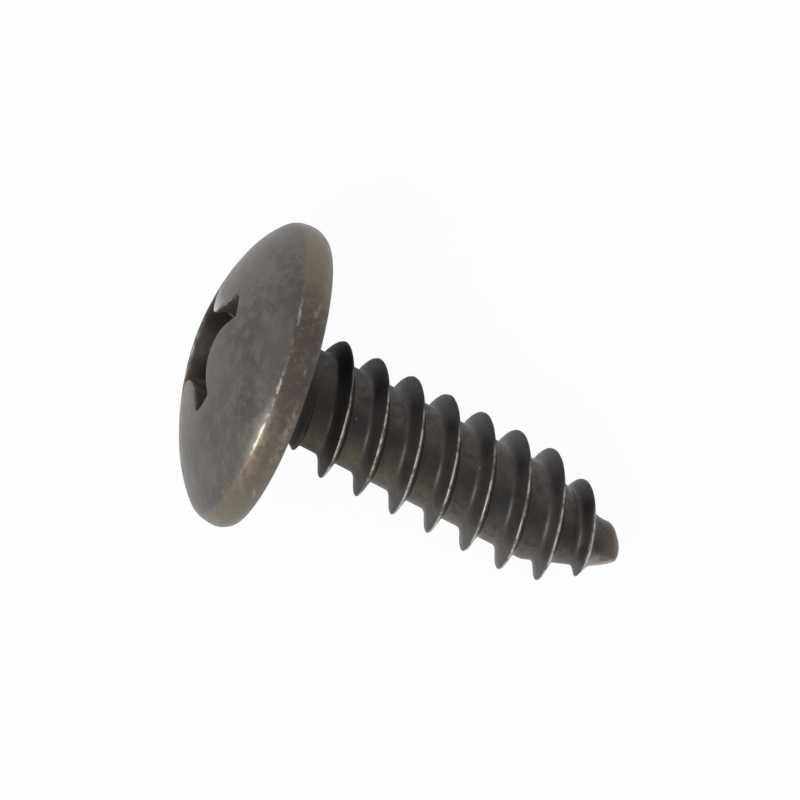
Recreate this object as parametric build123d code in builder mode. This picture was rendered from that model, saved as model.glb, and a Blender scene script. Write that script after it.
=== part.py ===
from build123d import *
import os
from math import asin, atan2, cos, hypot, pi, radians, sin, tan

os.makedirs("parts", exist_ok=True)

# A truss head tapping screw, no. 6 by half an inch, with a coarse thread and a cross recess. Sizes are in mm.
# It is drawn along Z: the bearing face lies at z = 0, the head below it and the point at the top.

# Head
head_dia = 8.21
dome_height = 1.69
crown_radius = 5.98  # of the dome's middle
shoulder_dia = 6.2  # where the tighter curve at the dome's edge starts
rim_height = 0.98
widest_height = 0.42  # the rim's widest circle, from the bearing face
edge_inset = 0.09  # how far the dome's edge lies inside the widest circle
seat_inset = 0.2  # the same for the lower corner of the rim
neck_round = 0.55

# Shank and point
root_dia = 2.52
length = 12.3  # bearing face to point
taper_length = 3.0
nose_radius = 0.55  # the point is worn round
flat_length = 1.0  # of the small flat on one side of the point
flat_slope = 27.0  # of that flat, from the axis
flat_angle = 163.0  # the way the flat faces, round the axis

# Thread
crest_dia = 3.53
pitch = 1.27
crest_flat = 0.06
flank_angle = 26.5  # of one flank, from the plane across the axis
thread_start = 0.46  # bearing face to the ridge's first section
start_angle = -6.8  # where that section stands round the axis
run_in = 1.7  # over which the trimming cone opens from the shank to clear of the crest
bare_point = 0.42  # left without thread
run_out = 1.1  # the same at the point
ridge_root = 0.2  # how deep the ridge is set into the shank

# Cross recess
recess_dia = 3.95  # across the wings, where they meet the dome
wing_width = 0.84
web_round = 1.12
wing_draft = 5.0
recess_depth = 1.75  # from the top of the dome to the foot of the wings
recess_cone = 26.5  # slope of the wings' ends, from the axis
floor_cone = 70.0  # slope of the floor, from the axis
recess_angle = 47.5

head_radius = head_dia / 2
head_height = rim_height + dome_height
edge_radius = head_radius - edge_inset
seat_radius = head_radius - seat_inset
shoulder_radius = shoulder_dia / 2
root_radius = root_dia / 2
crest_radius = crest_dia / 2
taper_start = length - taper_length
nose_length = taper_length - nose_radius
taper_angle = atan2(root_radius, nose_length) - asin(nose_radius / hypot(root_radius, nose_length))
taper_slope = tan(taper_angle)
ridge_height = crest_radius - root_radius
thread_end = length - bare_point


def shank_radius(z):
    """Radius of the shank without its thread."""
    return root_radius - max(0.0, z - taper_start) * taper_slope


def crown_z(radius):
    """Height of the dome's middle at a distance from the axis."""
    return crown_radius - head_height - (crown_radius**2 - radius**2) ** 0.5


# The turned blank: a domed head with a rounded rim, a filleted neck, the shank and a blunt cone.
with BuildPart() as blank:
    with BuildSketch(Plane.XZ):
        with BuildLine():
            crown = TangentArc((0, -head_height), (shoulder_radius, crown_z(shoulder_radius)), tangent=(1, 0))
            TangentArc(crown @ 1, (edge_radius, -rim_height), tangent=crown % 1)
            TangentArc((head_radius, -widest_height), (edge_radius, -rim_height), tangent=(0, -1))
            TangentArc((head_radius, -widest_height), (seat_radius, 0), tangent=(0, 1))
            FilletPolyline(
                (seat_radius, 0), (root_radius, 0), (root_radius, taper_start), radius=neck_round
            )
            nose_start = length - nose_radius * (1 - sin(taper_angle))
            cone = Line((root_radius, taper_start), (nose_radius * cos(taper_angle), nose_start))
            TangentArc(cone @ 1, (0, length), tangent=cone % 1)
            Line((0, length), (0, -head_height))
        make_face()
    revolve(axis=Axis.Z)
    flat_start = length - flat_length
    facing = radians(flat_angle)
    with BuildSketch(Plane((0, 0, 0), (cos(facing), sin(facing), 0), (sin(facing), -cos(facing), 0))):
        with BuildLine():
            Polyline(
                (shank_radius(flat_start), flat_start),
                (shank_radius(flat_start) - flat_length * tan(radians(flat_slope)), length),
                (root_radius, length),
                (root_radius, flat_start),
                close=True,
            )
        make_face()
    extrude(amount=root_radius, both=True, mode=Mode.SUBTRACT)

# The thread: one tooth swept along the shank and another on down the cone, as one right-hand helix.
# Each is trimmed at its outer end by a cone, so the thread rises out of the shank and sinks into the point.
half_crest = crest_flat / 2
half_base = half_crest + (ridge_height + ridge_root) * tan(radians(flank_angle))
clear_radius = crest_radius + ridge_height
first_trim = thread_start + half_base
last_trim = thread_end - half_base


def helix_angle(z):
    """Angle round the axis, in radians, at which the helix passes the height z."""
    return radians(start_angle) + 2 * pi * (z - thread_start) / pitch


def swept_tooth(low, high):
    """The tooth's section, drawn in a plane through the axis, swept from one height to another."""
    steps = max(4, round((high - low) / pitch * 12))
    heights = [low + (high - low) * step / steps for step in range(steps + 1)]
    points = [
        (shank_radius(z) * cos(helix_angle(z)), shank_radius(z) * sin(helix_angle(z)), z)
        for z in heights
    ]
    across = helix_angle(low)
    section = Plane(points[0], (cos(across), sin(across), 0), (-sin(across), cos(across), 0))
    with BuildPart() as tooth:
        with BuildLine() as helix:
            Spline(*points)
        with BuildSketch(section):
            with BuildLine():
                Polyline(
                    (-ridge_root, -half_base),
                    (-ridge_root, half_base),
                    (ridge_height, half_crest),
                    (ridge_height, -half_crest),
                    close=True,
                )
            make_face()
        sweep(path=helix.line, is_frenet=True)
    return tooth.part


with BuildPart() as shank_thread:
    add(swept_tooth(thread_start, taper_start))
    with BuildSketch(Plane.XZ):
        with BuildLine():
            Polyline(
                (root_radius - ridge_root / 2, 0),
                (root_radius - ridge_root / 2, first_trim),
                (clear_radius, first_trim + run_in),
                (clear_radius, 0),
                close=True,
            )
        make_face()
    revolve(axis=Axis.Z, mode=Mode.SUBTRACT)

with BuildPart() as taper_thread:
    add(swept_tooth(taper_start, thread_end))
    with BuildSketch(Plane.XZ):
        with BuildLine():
            Polyline(
                (shank_radius(last_trim) - ridge_root / 2, length),
                (shank_radius(last_trim) - ridge_root / 2, last_trim),
                (clear_radius, last_trim - run_out),
                (clear_radius, length),
                close=True,
            )
        make_face()
    revolve(axis=Axis.Z, mode=Mode.SUBTRACT)

# The recess: four wings with wide rounded webs between them, narrowing to a shallow cone.
mouth_drop = crown_z(recess_dia / 2) + head_height
wing_slope = tan(radians(recess_cone))
mouth_radius = recess_dia / 2 + mouth_drop * wing_slope
floor_radius = mouth_radius - recess_depth * wing_slope
floor_drop = floor_radius / tan(radians(floor_cone))

recess_total = recess_depth + floor_drop
narrowing = recess_total * tan(radians(wing_draft))

with BuildPart() as recess:
    for drop, less in ((0, 0), (recess_total, narrowing)):
        with BuildSketch(Plane.XY.offset(drop - head_height)) as cross:
            Rectangle(2 * recess_dia - 2 * less, wing_width - 2 * less, rotation=recess_angle)
            Rectangle(2 * recess_dia - 2 * less, wing_width - 2 * less, rotation=recess_angle + 90)
            fillet(cross.vertices().sort_by_distance((0, 0))[:4], web_round + less)
    loft()
    with BuildSketch(Plane.XZ):
        with BuildLine():
            Polyline(
                (0, -head_height),
                (mouth_radius, -head_height),
                (floor_radius, recess_depth - head_height),
                (0, recess_total - head_height),
                close=True,
            )
        make_face()
    revolve(axis=Axis.Z, mode=Mode.INTERSECT)

with BuildPart() as upright:
    add(blank.part)
    add(shank_thread.part)
    add(taper_thread.part)
    add(recess.part, mode=Mode.SUBTRACT)

# Laid down: the screw rests on its rim and on the thread's crest, with the head at -X.
# Below its widest circle the rim is an arc. The resting line touches that arc and the first crest it meets.
rim_arc = (seat_inset**2 + widest_height**2) / (2 * seat_inset)
lowest_crest = thread_start + pitch * ((270 - start_angle) % 360) / 360


def lean_onto(z):
    """Lean at which the resting line touches the crest at the height z."""
    along = z + half_crest + widest_height
    down = head_radius - rim_arc - shank_radius(z) - ridge_height
    return atan2(down, along) + asin(rim_arc / hypot(along, down))


turns_below = int((last_trim - run_out - lowest_crest) / pitch)
lean = min(lean_onto(lowest_crest + pitch * turn) for turn in range(1, turns_below + 1))

laid_plane = Plane((0, 0, 0), x_dir=(0, 1, 0), z_dir=(cos(lean), 0, -sin(lean)))
box = upright.part.moved(laid_plane.location).bounding_box()
laid_plane.origin = (-box.center().X, -box.center().Y, -box.min.Z)
with BuildPart() as screw:
    add(upright.part.moved(laid_plane.location))

screw.part.label = "screw"
export_step(screw.part, "parts/screw.step")
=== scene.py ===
from math import asin, atan2, cos, hypot, pi, radians, sin, sqrt, tan

import bmesh
import bpy
import numpy as np
from mathutils import Matrix, Vector, noise


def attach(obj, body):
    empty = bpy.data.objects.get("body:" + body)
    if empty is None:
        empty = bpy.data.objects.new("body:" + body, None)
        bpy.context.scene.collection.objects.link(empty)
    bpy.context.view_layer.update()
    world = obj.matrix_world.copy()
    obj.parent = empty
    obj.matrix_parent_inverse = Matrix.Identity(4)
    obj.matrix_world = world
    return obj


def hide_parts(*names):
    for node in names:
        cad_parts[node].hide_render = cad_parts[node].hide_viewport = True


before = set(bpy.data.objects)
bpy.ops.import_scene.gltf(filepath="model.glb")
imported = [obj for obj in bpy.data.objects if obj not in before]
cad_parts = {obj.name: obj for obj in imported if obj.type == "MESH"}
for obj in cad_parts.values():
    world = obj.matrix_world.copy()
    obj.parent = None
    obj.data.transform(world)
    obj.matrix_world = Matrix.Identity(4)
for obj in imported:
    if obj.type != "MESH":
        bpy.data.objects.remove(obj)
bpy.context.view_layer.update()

MM = 0.001
LEAN = radians(13.788136)  # the screw's axis, down from level towards the point
SEAT = Vector((-4.59801, 0, 3.90294)) * MM  # centre of the bearing face under the head
AXIS = Vector((cos(LEAN), 0, -sin(LEAN)))
TOP = Vector((sin(LEAN), 0, cos(LEAN)))

# Sizes of the screw in mm, as in the source. It is drawn along its own axis, with the bearing face at 0.
# Angles round the axis start at the side that is up in the photo. The camera looks from 90 degrees.
HEAD_RADIUS = 4.105
HEAD_HEIGHT = 2.67
CROWN_RADIUS = 5.98
SHOULDER = 3.1
EDGE_RADIUS = 4.015
RIM_HEIGHT = 0.98
WIDEST_HEIGHT = 0.42
FACE_RADIUS = 3.905
NECK = 0.55
ROOT = 1.26
LENGTH = 12.3
TAPER_START = 9.3
NOSE = 0.55  # radius of the round point
CREST = 1.765
THREAD_PITCH = 1.27
HALF_CREST = 0.03
FLANK = tan(radians(26.5))
START = 0.46  # height of the thread's first section
START_ANGLE = radians(-6.8)
RUN_IN = 1.7
BARE = 0.42  # without thread at the point
FLAT_LENGTH = 1.0
FLAT_SLOPE = tan(radians(27))
FLAT_ANGLE = radians(163)
RECESS_RADIUS = 1.975
HALF_WING = 0.42
WEB = 1.12  # radius of the round web between two wings
DRAFT = tan(radians(5))
DEPTH = 1.75
WING_SLOPE = tan(radians(26.5))  # of the wings' ends
FLOOR_SLOPE = tan(radians(70))
RECESS_ANGLE = radians(47.5)

RIDGE = CREST - ROOT
HALF_BASE = HALF_CREST + (RIDGE + 0.2) * FLANK
NOSE_MIDDLE = LENGTH - NOSE
TAPER = atan2(ROOT, NOSE_MIDDLE - TAPER_START) - asin(NOSE / hypot(ROOT, NOSE_MIDDLE - TAPER_START))
NOSE_START = LENGTH - NOSE * (1 - sin(TAPER))

# Corners that are sharp in the source and rounded here: how far the rounding reaches, in mm.
ROUND_CREST = 0.07
ROUND_ROOT = 0.12  # and up to twice that on the side of the head
ROUND_EDGE = 0.13
ROUND_FACE = 0.06
ROUND_NECK = 0.08
ROUND_LIP = 0.06

# Wear in mm, as the photo shows it. These sizes depart from the source.
FACE_HEIGHT = 0.06  # how far the lower corner of the rim reaches down the shank
UNDER_RISE = 0.14  # how far the face under the head rises towards the neck
RUN_OUT = 1.3  # the last turn sinks into the point a little sooner
SWELLING = 0.11  # on the upper side of the point
SWELLING_HEIGHT = 11.8
RECESS_PUSH = 0.21  # how far the nose between the recess's upper wings is pushed inwards
WORN_EDGE = (4.03, -0.93)  # radius and height of the bright line on the head's edge
DENT = 0.022
UNEVEN = 0.006

# The fine mesh is made of rings of points. Every ring has a point in each of these columns.
COLUMNS = 144
QUARTER = COLUMNS // 4
TURN = RECESS_ANGLE + 2 * pi * np.arange(COLUMNS) / COLUMNS
THREAD_LOW = 0.4  # heights between which the grid runs along the helix
THREAD_HIGH = 11.7
WELD = 1e-5  # points closer than this are joined where two grids meet


def smooth_max(a, b, width):
    """The larger of two values, with the corner between them rounded."""
    near = np.clip(width - np.abs(a - b), 0, None) / width
    return np.maximum(a, b) + near**2 * width / 4


def smooth_step(value, low, high):
    """0 at low, 1 at high and a smooth rise between them."""
    share = np.clip((value - low) / (high - low), 0, 1)
    return share * share * (3 - 2 * share)


def facing(angle, middle, low, high):
    """1 on the side that faces the middle, in degrees round the axis, and 0 on the far side."""
    return smooth_step(np.cos(angle - radians(middle)), low, high)


def patch(value, middle, half):
    """1 at the middle, falling softly to 0."""
    return np.exp(-(((value - middle) / half) ** 2))


def core(z):
    """Radius of the shank without its thread: neck, cylinder, taper and round nose."""
    neck = ROOT + NECK - np.sqrt(np.clip(NECK**2 - (np.minimum(z, NECK) - NECK) ** 2, 0, None))
    taper = ROOT - np.clip(z - TAPER_START, 0, None) * tan(TAPER)
    nose = np.sqrt(np.clip(NOSE**2 - (z - LENGTH + NOSE) ** 2, 0, None))
    return np.where(z > NOSE_START, nose, np.where(z < NECK, neck, taper))


def point_radius(angle, z):
    """Radius of the shank with its worn point: a swelling on one side, a small flat on the other."""
    swelling = SWELLING * patch(z, SWELLING_HEIGHT, 0.26) * facing(angle, 15, -0.2, 0.8)
    radius = core(z) + swelling * smooth_step(-z, -LENGTH, -11.9)
    flat_start = LENGTH - FLAT_LENGTH
    limit = core(np.array(flat_start)) - (z - flat_start) * FLAT_SLOPE
    towards_flat = np.cos(angle - FLAT_ANGLE)
    cut = np.where(towards_flat > 0.05, limit / np.clip(towards_flat, 0.05, None), 9)
    return np.where(z > flat_start - 0.5, -smooth_max(-radius, -cut, 0.04), radius)


def past_crest(angle, z):
    """Distance along the axis from the nearest turn of the thread's crest, towards the point."""
    turn = (z - START) / THREAD_PITCH - (angle - START_ANGLE) / (2 * pi)
    return (turn - np.round(turn)) * THREAD_PITCH


def ridge_height(z):
    """Height of the crest over the shank: it rises behind the head and sinks into the point."""
    rise = ROOT - 0.1 + (z - START - HALF_BASE) / RUN_IN * (RIDGE + CREST - ROOT + 0.1)
    last = LENGTH - BARE - HALF_BASE
    low = core(np.full_like(z, last)) - 0.1
    fall = low + (last - z) / RUN_OUT * (RIDGE + CREST - low)
    return -smooth_max(core(z) - np.minimum(rise, fall), np.full_like(z, -RIDGE), 0.05)


def shank_radius(angle, z):
    """Radius of the threaded shank, with a rounded crest and rounded roots, rounder towards the head."""
    past = past_crest(angle, z)
    tooth = (HALF_CREST + RIDGE * FLANK - np.abs(past)) / FLANK
    ridge = -smooth_max(-tooth, -ridge_height(z), ROUND_CREST)
    root_width = ROUND_ROOT + ROUND_ROOT * smooth_step(-past, 0, 0.12)
    return smooth_max(core(z) + ridge, point_radius(angle, z), root_width)


def crown_z(radius):
    """Height of the dome's middle at a distance from the axis."""
    return CROWN_RADIUS - HEAD_HEIGHT - np.sqrt(CROWN_RADIUS**2 - radius**2)


def arc(start, tangent, end, steps):
    """Points of the arc that leaves start along a tangent and reaches end."""
    tangent = np.array(tangent) / hypot(*tangent)
    normal = np.array([-tangent[1], tangent[0]])
    chord = np.array(end) - start
    turn = 2 * atan2(chord @ normal, chord @ tangent)
    radius = hypot(*chord) / (2 * sin(turn / 2))
    angle = np.linspace(0, turn, steps + 1)[:, None]
    return start + radius * (np.sin(angle) * tangent + (1 - np.cos(angle)) * normal)


def joined(before, after, reach):
    """Two runs of points as one, with the corner between them rounded."""
    corner = after[0]
    before = before[np.hypot(*(before - corner).T) > reach]
    after = after[np.hypot(*(after - corner).T) > reach]
    t = np.linspace(0, 1, 7)[1:-1, None]
    bend = (1 - t) ** 2 * before[-1] + 2 * t * (1 - t) * corner + t**2 * after[0]
    return np.concatenate([before, bend, after])


def head_profile():
    """The head from its shoulder round the rim and the bearing face to the neck."""
    slope = SHOULDER / CROWN_RADIUS
    edge = (EDGE_RADIUS, -RIM_HEIGHT)
    widest = (HEAD_RADIUS, -WIDEST_HEIGHT)
    dome = arc((SHOULDER, crown_z(SHOULDER)), (sqrt(1 - slope**2), slope), edge, 24)
    upper_rim = arc(widest, (0, -1), edge, 14)[::-1]
    lower_rim = arc(widest, (0, 1), (FACE_RADIUS, FACE_HEIGHT), 12)
    neck_heights = np.linspace(UNDER_RISE, THREAD_LOW, 12)
    neck = np.column_stack([core(neck_heights), neck_heights])
    face = np.linspace((FACE_RADIUS, FACE_HEIGHT), neck[0], 24)
    profile = joined(dome, upper_rim, ROUND_EDGE)
    profile = np.concatenate([profile, lower_rim[1:]])
    profile = joined(profile, face, ROUND_FACE)
    return joined(profile, neck, ROUND_NECK)


def head_rings():
    """A ring of points for each radius and height of the head's profile."""
    profile = head_profile()
    radius, height = profile[:, :1], profile[:, 1:]
    return np.stack([radius * np.cos(TURN), radius * np.sin(TURN), height + 0 * TURN], axis=2)


def recess_outline(drop):
    """The cross recess at the given drop below the top of the dome, for each column."""
    step = np.arange(COLUMNS) % QUARTER
    mirrored = step > QUARTER // 2
    step = np.where(mirrored, QUARTER - step, step)
    wing = HALF_WING - drop * DRAFT
    web = WEB + drop * DRAFT
    reach = RECESS_RADIUS + (crown_z(RECESS_RADIUS) + HEAD_HEIGHT - drop) * WING_SLOPE
    centre = wing + web
    straight = np.clip(np.sqrt(reach**2 - wing**2) - centre, 0, None)
    bend_cosine = (web**2 + 2 * centre**2 - reach**2) / (2 * sqrt(2) * web * centre)
    bend = np.where(straight > 0, pi / 4, np.arccos(np.clip(bend_cosine, cos(pi / 4), 1)))

    # the first 4 steps follow the wing's end, the others its side and the web
    run = np.clip((step - 4) / (QUARTER // 2 - 4), 0, 1) * (straight + web * bend)
    angle = 5 * pi / 4 + bend - np.clip(run - straight, 0, None) / web
    x = np.where(run < straight, centre + straight - run, centre + web * np.cos(angle))
    y = np.where(run < straight, wing, centre + web * np.sin(angle))
    end = np.arctan2(y, x) * np.clip(step / 4, 0, 1)
    x = np.where(step < 4, reach * np.cos(end), x)
    y = np.where(step < 4, reach * np.sin(end), y)
    x, y = np.where(mirrored, y, x), np.where(mirrored, x, y)

    turned = RECESS_ANGLE + (np.arange(COLUMNS) // QUARTER) * pi / 2
    cosine, sine = np.cos(turned), np.sin(turned)
    return np.stack([x * cosine - y * sine, x * sine + y * cosine], axis=1)


def recess_rings():
    """Rings from the middle of the recess up its floor and walls, over the lip and out to the shoulder."""
    mouth = np.full(COLUMNS, 0.3)
    foot = np.full(COLUMNS, DEPTH)
    floor_radius = RECESS_RADIUS + (crown_z(RECESS_RADIUS) + HEAD_HEIGHT - DEPTH) * WING_SLOPE
    for _ in range(12):
        mouth = crown_z(np.hypot(*recess_outline(mouth).T)) + HEAD_HEIGHT
        inside = np.clip(floor_radius - np.hypot(*recess_outline(foot).T), 0, None)
        foot = DEPTH + inside / FLOOR_SLOPE

    def ring(outline, drop):
        return np.column_stack([outline, drop - HEAD_HEIGHT + np.zeros(COLUMNS)])

    foot_outline = recess_outline(foot)
    foot_radius = np.hypot(*foot_outline.T)
    found = []
    for share in np.linspace(0, 1, 9)[:-1]:
        found.append(ring(foot_outline * share, foot + foot_radius * (1 - share) / FLOOR_SLOPE))
    for share in np.linspace(1, 0, 20):
        drop = mouth + ROUND_LIP + share * (foot - mouth - ROUND_LIP)
        found.append(ring(recess_outline(drop), drop))

    outline = recess_outline(mouth)
    tangent = np.roll(outline, -1, axis=0) - np.roll(outline, 1, axis=0)
    outward = np.column_stack([tangent[:, 1], -tangent[:, 0]]) / np.hypot(*tangent.T)[:, None]
    near = outline + ROUND_LIP * outward
    wall = found[-1]
    corner = ring(outline, mouth)
    dome = ring(near, crown_z(np.hypot(*near.T)) + HEAD_HEIGHT)
    for t in (0.2, 0.4, 0.6, 0.8):
        found.append((1 - t) ** 2 * wall + 2 * t * (1 - t) * corner + t**2 * dome)
    circle = SHOULDER * np.column_stack([np.cos(TURN), np.sin(TURN)])
    for share in np.linspace(0, 1, 16)[:-1] ** 1.3:
        between = near + share * (circle - near)
        found.append(ring(between, crown_z(np.hypot(*between.T)) + HEAD_HEIGHT))
    return np.array(found)


def thread_grid():
    """The threaded part on a grid that runs along the helix, so that the crest is one clean line."""
    half = [0, 0.015, 0.03, 0.05, 0.075, 0.11, 0.15, 0.19, 0.225, 0.255, 0.285, 0.32, 0.37, 0.44, 0.53]
    offsets = np.array(half + [THREAD_PITCH / 2] + [THREAD_PITCH - value for value in half[::-1]])
    first = START + THREAD_PITCH * (RECESS_ANGLE - START_ANGLE) / (2 * pi)
    low_turn = int((THREAD_LOW - first) / THREAD_PITCH) - 2
    high_turn = int((THREAD_HIGH - first) / THREAD_PITCH) + 1
    column = np.arange(low_turn * COLUMNS, high_turn * COLUMNS)[:, None]
    height = np.clip(first + THREAD_PITCH * column / COLUMNS + offsets, THREAD_LOW, THREAD_HIGH)
    angle = RECESS_ANGLE + 2 * pi * column / COLUMNS + 0 * offsets
    radius = shank_radius(angle, height)
    return np.stack([radius * np.cos(angle), radius * np.sin(angle), height], axis=2)


def tip_rings():
    """The end of the taper and the round nose, closed at the tip."""
    taper = np.linspace(THREAD_HIGH, NOSE_START, 8)[:-1]
    nose = NOSE_MIDDLE + NOSE * np.sin(np.linspace(TAPER, pi / 2, 20))
    heights = np.concatenate([taper, nose])[:, None]
    angle = TURN + 0 * heights
    radius = point_radius(angle, heights)
    radius[0] = shank_radius(angle[0], heights[0] + 0 * angle[0])
    radius[-1] = 0
    return np.stack([radius * np.cos(angle), radius * np.sin(angle), heights + 0 * angle], axis=2)


def grid_faces(count, width, closed):
    """Quads between the points of neighbouring rings, each `width` points long."""
    across = np.arange(width if closed else width - 1)
    start = np.arange(count - 1)[:, None] * width
    a = start + across
    b = start + (across + 1) % width
    return np.stack([a, b, b + width, a + width], axis=2).reshape(-1, 4)


def closed_mesh():
    """The screw as one closed mesh of fine faces, drawn along its own axis in mm."""
    head = np.concatenate([recess_rings(), head_rings()])
    points, faces = [], []
    for grid, closed in ((head, True), (tip_rings(), True), (thread_grid(), False)):
        faces.append(grid_faces(len(grid), grid.shape[1], closed) + sum(map(len, points)))
        points.append(grid.reshape(-1, 3))
    mesh = bpy.data.meshes.new("screw_worn")
    mesh.from_pydata(np.concatenate(points), [], np.concatenate(faces))
    shell = bmesh.new()
    shell.from_mesh(mesh)
    bmesh.ops.remove_doubles(shell, verts=shell.verts, dist=WELD)
    bmesh.ops.recalc_face_normals(shell, faces=shell.faces)
    shell.to_mesh(mesh)
    shell.free()
    return mesh


def point_values(mesh, name):
    """A vector of each point of the mesh, such as its place."""
    values = np.empty(len(mesh.vertices) * 3, np.float32)
    mesh.vertices.foreach_get(name, values)
    return values.reshape(-1, 3).astype(float)


def position_noise(points, size, detail):
    """Noise from -1 to 1 for each point, with features about `size` millimetres across."""
    return np.array([noise.fractal(Vector(point) / size, 1.0, 2.0, detail) for point in points])


def on_shank(z):
    """1 on the shank and 0 on the head."""
    return smooth_step(z, 0.3, 0.6)


def on_ridge(z):
    """1 where the thread stands clear of the shank, and 0 at its two ends."""
    return on_shank(z) * smooth_step(ridge_height(z), 0.1, 0.25)


def edge_line(radius, z):
    """1 on the edge where the dome ends and the rim starts."""
    return smooth_step(np.hypot(radius - WORN_EDGE[0], z - WORN_EDGE[1]), 0.07, 0.015)


def thread_masks(angle, z):
    """Parts of the thread: its worn crest, bare only on the side facing the camera and so partly a painted
    highlight, its two flanks, of which the tip-side one is painted lighter to offset its shade, the
    valleys and the worn side of the point.
    """
    past = past_crest(angle, z)
    turn = np.degrees(angle)
    ridge = on_ridge(z)
    crest = ridge * smooth_step(past, -0.035, -0.01) * smooth_step(past, 0.13, 0.06)
    flank = ridge * smooth_step(-past, -0.01, 0.05) * smooth_step(-past, 0.42, 0.2)
    valley = np.where(past < 0, smooth_step(-past, 0.22, 0.4), smooth_step(past, 0.06, 0.16))
    tip = smooth_step(z, 11.1, 11.35)
    return {
        # the crest is bare only where it faces the camera: wear and partly a painted highlight
        "crest": crest * facing(angle, 112, 0.35, 0.75),
        "valley": on_shank(z) * valley,
        # the tip-side flank: painted light that offsets the shade on that flank
        "behind": ridge * smooth_step(past, 0.03, 0.1) * smooth_step(past, 0.36, 0.24),
        "flank": flank * facing(angle, 105, 0.5, 0.85),
        "high": on_shank(z) * facing(angle, 45, 0.75, 0.97),
        "low": on_shank(z) * facing(angle, 180, 0.1, 0.8),
        "tip_patch": tip * smooth_step(turn, 102, 116) * smooth_step(-turn, -180, -172),
    }


def rim_masks(radius, angle, z):
    """The rim's tones, bands of painted warm highlight on it, and the bright wear on its edge."""
    turn = np.degrees(angle)
    rim = smooth_step(radius, 3.85, 3.98) * smooth_step(z, -1.05, -0.9)
    # painted highlight: a broad warm glow below the edge line and a streak near the bearing face
    rim_glow_painted = patch(turn, 123, 17) * patch(z, -0.78, 0.2) + patch(turn, 111, 12) * patch(z, -0.2, 0.15)
    bright = 0.22 * patch(turn, 92, 42) + patch(turn, 112, 6)
    bright += 0.7 * patch(turn, 91, 4) + 0.5 * patch(turn, 62, 6)
    spots = 0.3 * patch(turn, 101, 7) * patch(z, -0.2, 0.1)
    spots += 0.3 * patch(turn, 59, 3) * patch(z, -0.42, 0.12)
    for at, height in ((82, -0.3), (133, -0.33), (118, -0.3), (135, -0.25)):
        spots += 0.6 * patch(turn, at, 0.7) * patch(z, height, 0.045)
    return {
        "rim": rim,
        "olive": smooth_step(turn, 90, 130) + smooth_step(turn, 65, 45),
        "rim_glow_painted": rim * rim_glow_painted,
        "edge": np.clip(edge_line(radius, z) * bright + rim * spots, 0, 1),
    }


def from_nose(place):
    """The way across the axis from the centre of the nose between the recess's upper wings."""
    turn = RECESS_ANGLE - pi / 4
    return place[:, :2] - sqrt(2) * (HALF_WING + WEB) * np.array((cos(turn), sin(turn)))


def recess_masks(place, radius, angle, z):
    """The recess, its lip, which is a little bare and partly a painted highlight, and its upper nose,
    which is rubbed bare and pushed inwards.
    """
    under_dome = z - crown_z(np.minimum(radius, 3))
    above_rim = z < -0.1
    nose = np.hypot(*from_nose(place).T)
    worn_nose = smooth_step(nose, WEB - 0.3, WEB - 0.02) * smooth_step(-under_dome, -0.45, -0.03)
    worn_nose *= smooth_step(-radius, -1.9, -1.5) * patch(np.degrees(angle), -6, 20)
    # the lip: a band along the recess mouth for a little wear and a painted highlight
    lip = smooth_step(under_dome, 0.004, 0.02) * smooth_step(-under_dome, -0.1, -0.04)
    return {
        "recess": smooth_step(under_dome, 0.03, 0.25) * (radius < 2.2) * above_rim,
        "lip": lip * (radius < 2.3) * above_rim,
        "worn_nose": worn_nose * (nose < WEB + 0.2) * above_rim,
    }


def worn_screw():
    """The screw as one fine closed mesh, laid down, with its wear and its painted light noted at each
    point for the material.
    """
    mesh = closed_mesh()
    place = point_values(mesh, "co")
    radius = np.hypot(place[:, 0], place[:, 1])
    angle = np.arctan2(place[:, 1], place[:, 0])
    z = place[:, 2].copy()
    masks = thread_masks(angle, z) | rim_masks(radius, angle, z) | recess_masks(place, radius, angle, z)

    # small dents on the crests and the head's edge, and a faint unevenness all over
    on_crest = on_ridge(z) * smooth_step(np.abs(past_crest(angle, z)), 0.065, 0.02)
    dents = np.clip(np.abs(position_noise(place, 0.45, 3)) - 0.35, 0, 0.5)
    dents = DENT * dents * np.maximum(on_crest, edge_line(radius, z))
    rise = UNEVEN * position_noise(place + 7, 1.1, 2) - dents
    away = from_nose(place)
    place += point_values(mesh, "normal") * rise[:, None]
    place[:, :2] += (RECESS_PUSH * masks["worn_nose"] / np.hypot(*away.T))[:, None] * away

    sideways, towards_top, along = place[:, :1], place[:, 1:2], place[:, 2:]
    laid = along * np.array(AXIS) + sideways * np.array((0, 1, 0)) + towards_top * np.array(TOP)
    laid = np.array(SEAT) + MM * laid
    mesh.vertices.foreach_set("co", laid.astype(np.float32).ravel())
    for name, values in masks.items():
        layer = mesh.attributes.new(name, "FLOAT", "POINT")
        layer.data.foreach_set("value", values.astype(np.float32))
    mesh.shade_smooth()
    mesh.set_sharp_from_angle(angle=radians(55))
    mesh.update()
    item = bpy.data.objects.new("screw_worn", mesh)
    bpy.context.scene.collection.objects.link(item)
    return item


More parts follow.
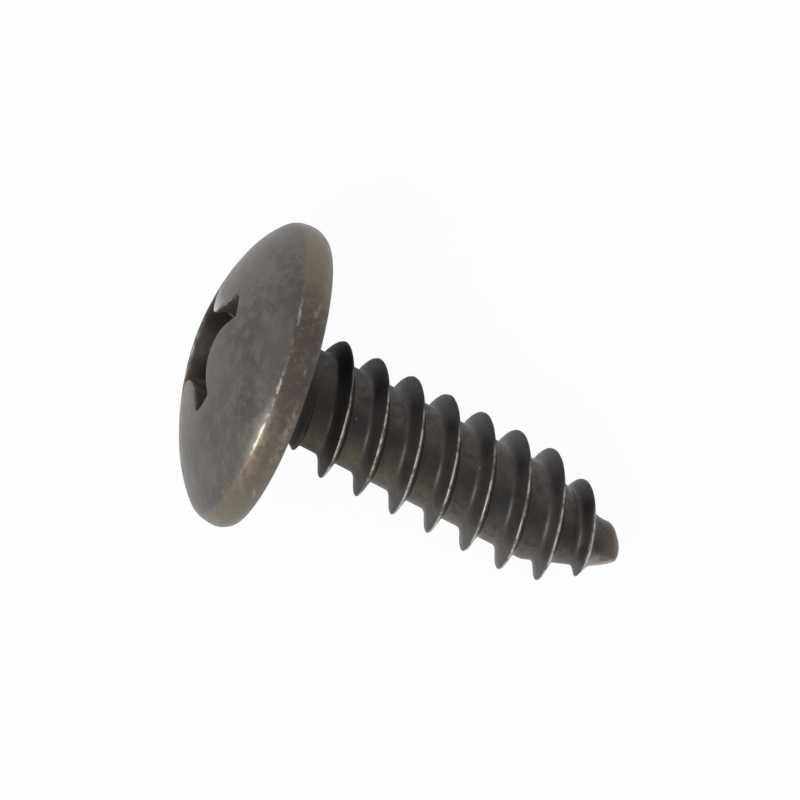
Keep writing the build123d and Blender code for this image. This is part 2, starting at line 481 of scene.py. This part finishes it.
class Nodes:
    """Short calls for building one material's node tree."""

    def __init__(self, name):
        self.material = bpy.data.materials.new(name)
        self.material.use_nodes = True
        self.tree = self.material.node_tree
        self.shader = self.tree.nodes["Principled BSDF"]

    def add(self, kind, values=(), **settings):
        """A node with its settings and with values or links on its sockets."""
        node = self.tree.nodes.new(kind)
        for key, value in settings.items():
            setattr(node, key, value)
        for key, value in dict(values).items():
            self.put(node.inputs[key], value)
        return node

    def put(self, socket, value):
        """Link a socket to another one, or set its value or colour."""
        if isinstance(value, bpy.types.NodeSocket):
            self.tree.links.new(value, socket)
        elif hasattr(value, "__len__") and len(socket.default_value) == 4 and len(value) == 3:
            socket.default_value = (*value, 1)
        else:
            socket.default_value = value

    def math(self, operation, a, b=0.0):
        """Two values put together by one operation."""
        return self.add("ShaderNodeMath", {0: a, 1: b}, operation=operation).outputs[0]

    def times(self, *values):
        """The product of all the values."""
        product = values[0]
        for value in values[1:]:
            product = self.math("MULTIPLY", product, value)
        return product

    def most(self, a, b):
        """The larger of two values."""
        return self.math("MAXIMUM", a, b)

    def step(self, value, low, high, start=0.0, end=1.0):
        """Smooth step of a value from low to high."""
        values = {0: value, 1: low, 2: high, 3: start, 4: end}
        return self.add("ShaderNodeMapRange", values, interpolation_type="SMOOTHSTEP").outputs[0]

    def mix(self, share, a, b):
        """Colour a, with a share of colour b."""
        node = self.add("ShaderNodeMix", {0: share}, data_type="RGBA")
        self.put(node.inputs[6], a)
        self.put(node.inputs[7], b)
        return node.outputs[2]

    def noise(self, vector, size, detail=4.0, rough=0.55):
        """Noise with features about `size` millimetres across."""
        values = {"Vector": vector, "Scale": 1 / (size * MM), "Detail": detail, "Roughness": rough}
        return self.add("ShaderNodeTexNoise", values).outputs[0]

    def mask(self, name):
        """A value noted at each point of the mesh."""
        return self.add("ShaderNodeAttribute", attribute_name=name).outputs["Fac"]


def dome_tones(n, place, fine):
    """Mottled dark oxide."""
    broad = n.noise(place, 1.6, 3)
    grain = n.noise(place, 0.09, 4, 0.6)
    oxide = n.mix(n.step(broad, 0.38, 0.62), (0.094, 0.087, 0.084), (0.13, 0.116, 0.103))
    oxide = n.mix(n.step(fine, 0.42, 0.66, 0, 0.75), oxide, (0.168, 0.152, 0.136))
    return n.mix(n.step(grain, 0.55, 0.8, 0, 0.5), oxide, (0.06, 0.055, 0.055))


def rim_tones(n, oxide, fine, streaks):
    """The rim: reddish brown with paler streaks, olive at its ends, with painted warm highlights in bands
    along it.
    """
    tone = n.mix(n.mask("olive"), (0.09, 0.071, 0.062), (0.175, 0.15, 0.105))
    # painted highlight in the rim's warm bands
    tone = n.mix(n.times(n.mask("rim_glow_painted"), n.step(streaks, 0.35, 0.6)), tone, (0.31, 0.245, 0.165))
    tone = n.mix(n.step(streaks, 0.5, 0.62, 0, 0.4), tone, (0.22, 0.175, 0.14))
    return n.mix(n.times(n.mask("rim"), n.step(fine, 0.3, 0.7, 0.6, 0.95)), oxide, tone)


def thread_tones(n, oxide, place, along, streaks):
    """The thread: nearly black, with painted shade that makes it darkest next to the head, and warmer,
    greener and paler valleys.
    """
    valley = n.mask("valley")
    patches = n.step(n.noise(place, 0.5, 5, 0.7), 0.42, 0.62)
    warm = n.mix(n.step(streaks, 0.42, 0.58), (0.072, 0.05, 0.044), (0.038, 0.042, 0.037))
    low = n.times(valley, n.mask("low"), n.step(streaks, 0.3, 0.6, 0.3, 1))
    high = n.times(valley, n.mask("high"), n.step(streaks, 0.38, 0.6, 0.2, 0.7))
    flank = n.times(n.mask("flank"), n.step(patches, 0, 1, 0.75, 1))
    # painted shade of the head on the first turns of the thread
    head_shade_painted = n.times(n.step(along, 3.2, 0.8), n.step(along, 0.0, 0.3), 0.35)

    oxide = n.mix(n.times(n.step(along, 0.02, 0.3), 0.9), oxide, (0.03, 0.0275, 0.027))
    oxide = n.mix(n.times(valley, patches, 0.9), oxide, warm)
    oxide = n.mix(low, oxide, (0.11, 0.094, 0.072))
    oxide = n.mix(high, oxide, (0.105, 0.096, 0.092))
    # painted light: the tip-side flank made paler to offset its shade
    oxide = n.mix(n.times(n.mask("behind"), 0.8), oxide, (0.13, 0.115, 0.1))
    oxide = n.mix(flank, oxide, (0.095, 0.086, 0.082))
    return n.mix(head_shade_painted, oxide, (0.02, 0.021, 0.02))


def rubbed_bare(n, place, fine):
    """How far the oxide is rubbed off: on edges, crests, the recess's lip and nose, and in a few specks.
    The bright crests and lip are partly painted highlights.
    """
    edge = n.mask("edge")
    broken = n.math("ADD", n.noise(place, 0.18, 4, 0.6), n.times(edge, 0.2))
    edge_wear = n.times(edge, n.step(broken, 0.45, 0.62))
    # the recess's lip, a little bare: wear and partly a painted highlight along the mouth
    lip_wear_and_glint = n.times(n.mask("lip"), n.step(fine, 0.42, 0.6), 0.3)
    nose_wear = n.times(n.mask("worn_nose"), n.step(fine, 0.3, 0.55, 0.6, 1))
    # crests rubbed bare, fading away from the camera's side: wear and partly a painted highlight
    crest_wear_and_glint = n.times(n.mask("crest"), n.step(fine, 0.4, 0.54, 0.2, 1), 0.85)
    specks = n.step(n.noise(place, 0.16, 2, 0.5), 0.74, 0.8, 0, 0.35)
    return n.most(n.most(n.most(edge_wear, lip_wear_and_glint), n.most(nose_wear, crest_wear_and_glint)), specks)


def screw_steel():
    """Mottled dark oxide on steel, worn at the rim, the crests, the recess and the point, with painted
    highlights on the rim, the crests and the lip and painted shade next to the head.
    """
    n = Nodes("screw_steel")
    place = n.add("ShaderNodeTexCoord").outputs["Object"]
    moved = n.add("ShaderNodeVectorMath", {0: place, 1: SEAT}, operation="SUBTRACT").outputs[0]
    level = {"Vector": moved, "Angle": -LEAN}
    turned = n.add("ShaderNodeVectorRotate", level, rotation_type="Y_AXIS").outputs[0]
    along = n.math("DIVIDE", n.add("ShaderNodeSeparateXYZ", {0: turned}).outputs[0], MM)
    fine = n.noise(place, 0.35, 6, 0.65)
    streaks = n.noise(place, 0.22, 3, 0.7)
    near_point = n.step(along, 11.3, 11.8)
    pale_point = n.times(n.mask("tip_patch"), n.step(fine, 0.4, 0.6, 0.4, 1))
    # painted shade: duller reflections on the shank next to the head
    head_shade_on_reflections = n.times(n.step(along, -0.1, 0.4), n.step(along, 8.0, 0.5))

    oxide = dome_tones(n, place, fine)
    oxide = rim_tones(n, oxide, fine, streaks)
    oxide = thread_tones(n, oxide, place, along, streaks)
    oxide = n.mix(near_point, oxide, (0.1, 0.084, 0.074))
    oxide = n.mix(pale_point, oxide, (0.26, 0.225, 0.205))
    oxide = n.mix(n.times(n.mask("recess"), 0.85), oxide, (0.13, 0.106, 0.088))
    bare = n.mix(n.mask("worn_nose"), (0.6, 0.56, 0.5), (0.62, 0.51, 0.5))

    n.put(n.shader.inputs["Base Color"], n.mix(rubbed_bare(n, place, fine), oxide, bare))
    # the specular tint is lowered next to the head as painted shade
    n.put(n.shader.inputs["Specular Tint"], n.mix(head_shade_on_reflections, (1, 1, 1), (0.4, 0.4, 0.4)))
    n.put(n.shader.inputs["Metallic"], 0.75)
    n.put(n.shader.inputs["Roughness"], n.step(fine, 0.3, 0.8, 0.36, 0.52))
    bump = n.add("ShaderNodeBump", {"Height": fine, "Distance": 0.012 * MM, "Strength": 0.5})
    n.put(n.shader.inputs["Normal"], bump.outputs[0])
    return n.material


screw = worn_screw()
screw.data.materials.append(screw_steel())
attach(screw, "root")
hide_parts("screw")


def floor_pale():
    """A pale floor that is nearly white to the camera and in reflections, and keeps a faint shadow."""
    n = Nodes("floor_pale")
    n.put(n.shader.inputs["Base Color"], (0.9, 0.9, 0.9))
    n.put(n.shader.inputs["Roughness"], 0.9)
    rays = n.add("ShaderNodeLightPath")
    seen = n.most(rays.outputs["Is Camera Ray"], rays.outputs["Is Glossy Ray"])
    white = n.add("ShaderNodeEmission", {"Color": (1, 1, 1), "Strength": 1.0})
    share = n.times(seen, 0.95)
    both = n.add("ShaderNodeMixShader", {0: share, 1: n.shader.outputs[0], 2: white.outputs[0]})
    n.put(n.tree.nodes["Material Output"].inputs["Surface"], both.outputs[0])
    return n.material


bpy.ops.mesh.primitive_plane_add(size=0.6)
floor = bpy.context.object
floor.name = "floor"
floor.data.materials.append(floor_pale())

# World: even white light.
world = bpy.data.worlds.new("world")
bpy.context.scene.world = world
world.use_nodes = True
world.node_tree.nodes["Background"].inputs["Color"].default_value = (1, 1, 1, 1)
world.node_tree.nodes["Background"].inputs["Strength"].default_value = 0.7


def area_lamp(name, place, aim, size, power):
    """A square lamp at a place, turned towards its aim."""
    lamp = bpy.data.lights.new(name, "AREA")
    lamp.size = size
    lamp.energy = power
    item = bpy.data.objects.new(name, lamp)
    item.location = place
    item.rotation_euler = (Vector(aim) - Vector(place)).to_track_quat("-Z", "Y").to_euler()
    bpy.context.scene.collection.objects.link(item)


area_lamp("key", place=(-0.1, -0.12, 0.17), aim=(0, 0, 0), size=0.12, power=0.22)

# Camera. The photograph is drawn squeezed sideways, to about 0.8 of its true width. A camera whose picture
# plane leans back by PLANE_LEAN draws the real screw like that; the model itself keeps true proportions.
ROLL = radians(22.37385)
PITCH = radians(16.88545) - LEAN
PLANE_LEAN = radians(36.68795)
LENS = 237.61
DISTANCE = 167.61 * MM
ASIDE = 3.9772  # mm from the bearing face to the middle of the picture, to the right
BELOW = 0.5312  # and down
right = Vector((cos(ROLL) * cos(PITCH), sin(ROLL), cos(ROLL) * sin(PITCH)))
up = Vector((-sin(ROLL) * cos(PITCH), cos(ROLL), -sin(ROLL) * sin(PITCH)))
back = Vector((-sin(PITCH), 0, cos(PITCH)))
plane_up = cos(PLANE_LEAN) * up + sin(PLANE_LEAN) * back
half = (pi / 2 - PLANE_LEAN) / 2
lean_frame = Matrix((right, (plane_up + back).normalized(), (back - plane_up).normalized())).transposed()
holder = bpy.data.objects.new("camera_holder", None)
holder.matrix_world = (
    Matrix.Translation(SEAT + right * ASIDE * MM - up * BELOW * MM + back * DISTANCE)
    @ lean_frame.to_4x4()
    @ Matrix.Diagonal((1, sqrt(2) * cos(half), sqrt(2) * sin(half), 1))
)
camera = bpy.data.objects.new("camera", bpy.data.cameras.new("camera"))
camera.parent = holder
camera.rotation_euler = (-pi / 4, 0, 0)
camera.data.sensor_width = 36
camera.data.lens = LENS
camera.data.clip_start = 0.01
for item in (holder, camera):
    bpy.context.scene.collection.objects.link(item)
bpy.context.scene.camera = camera

bpy.context.scene.view_settings.view_transform = "Standard"
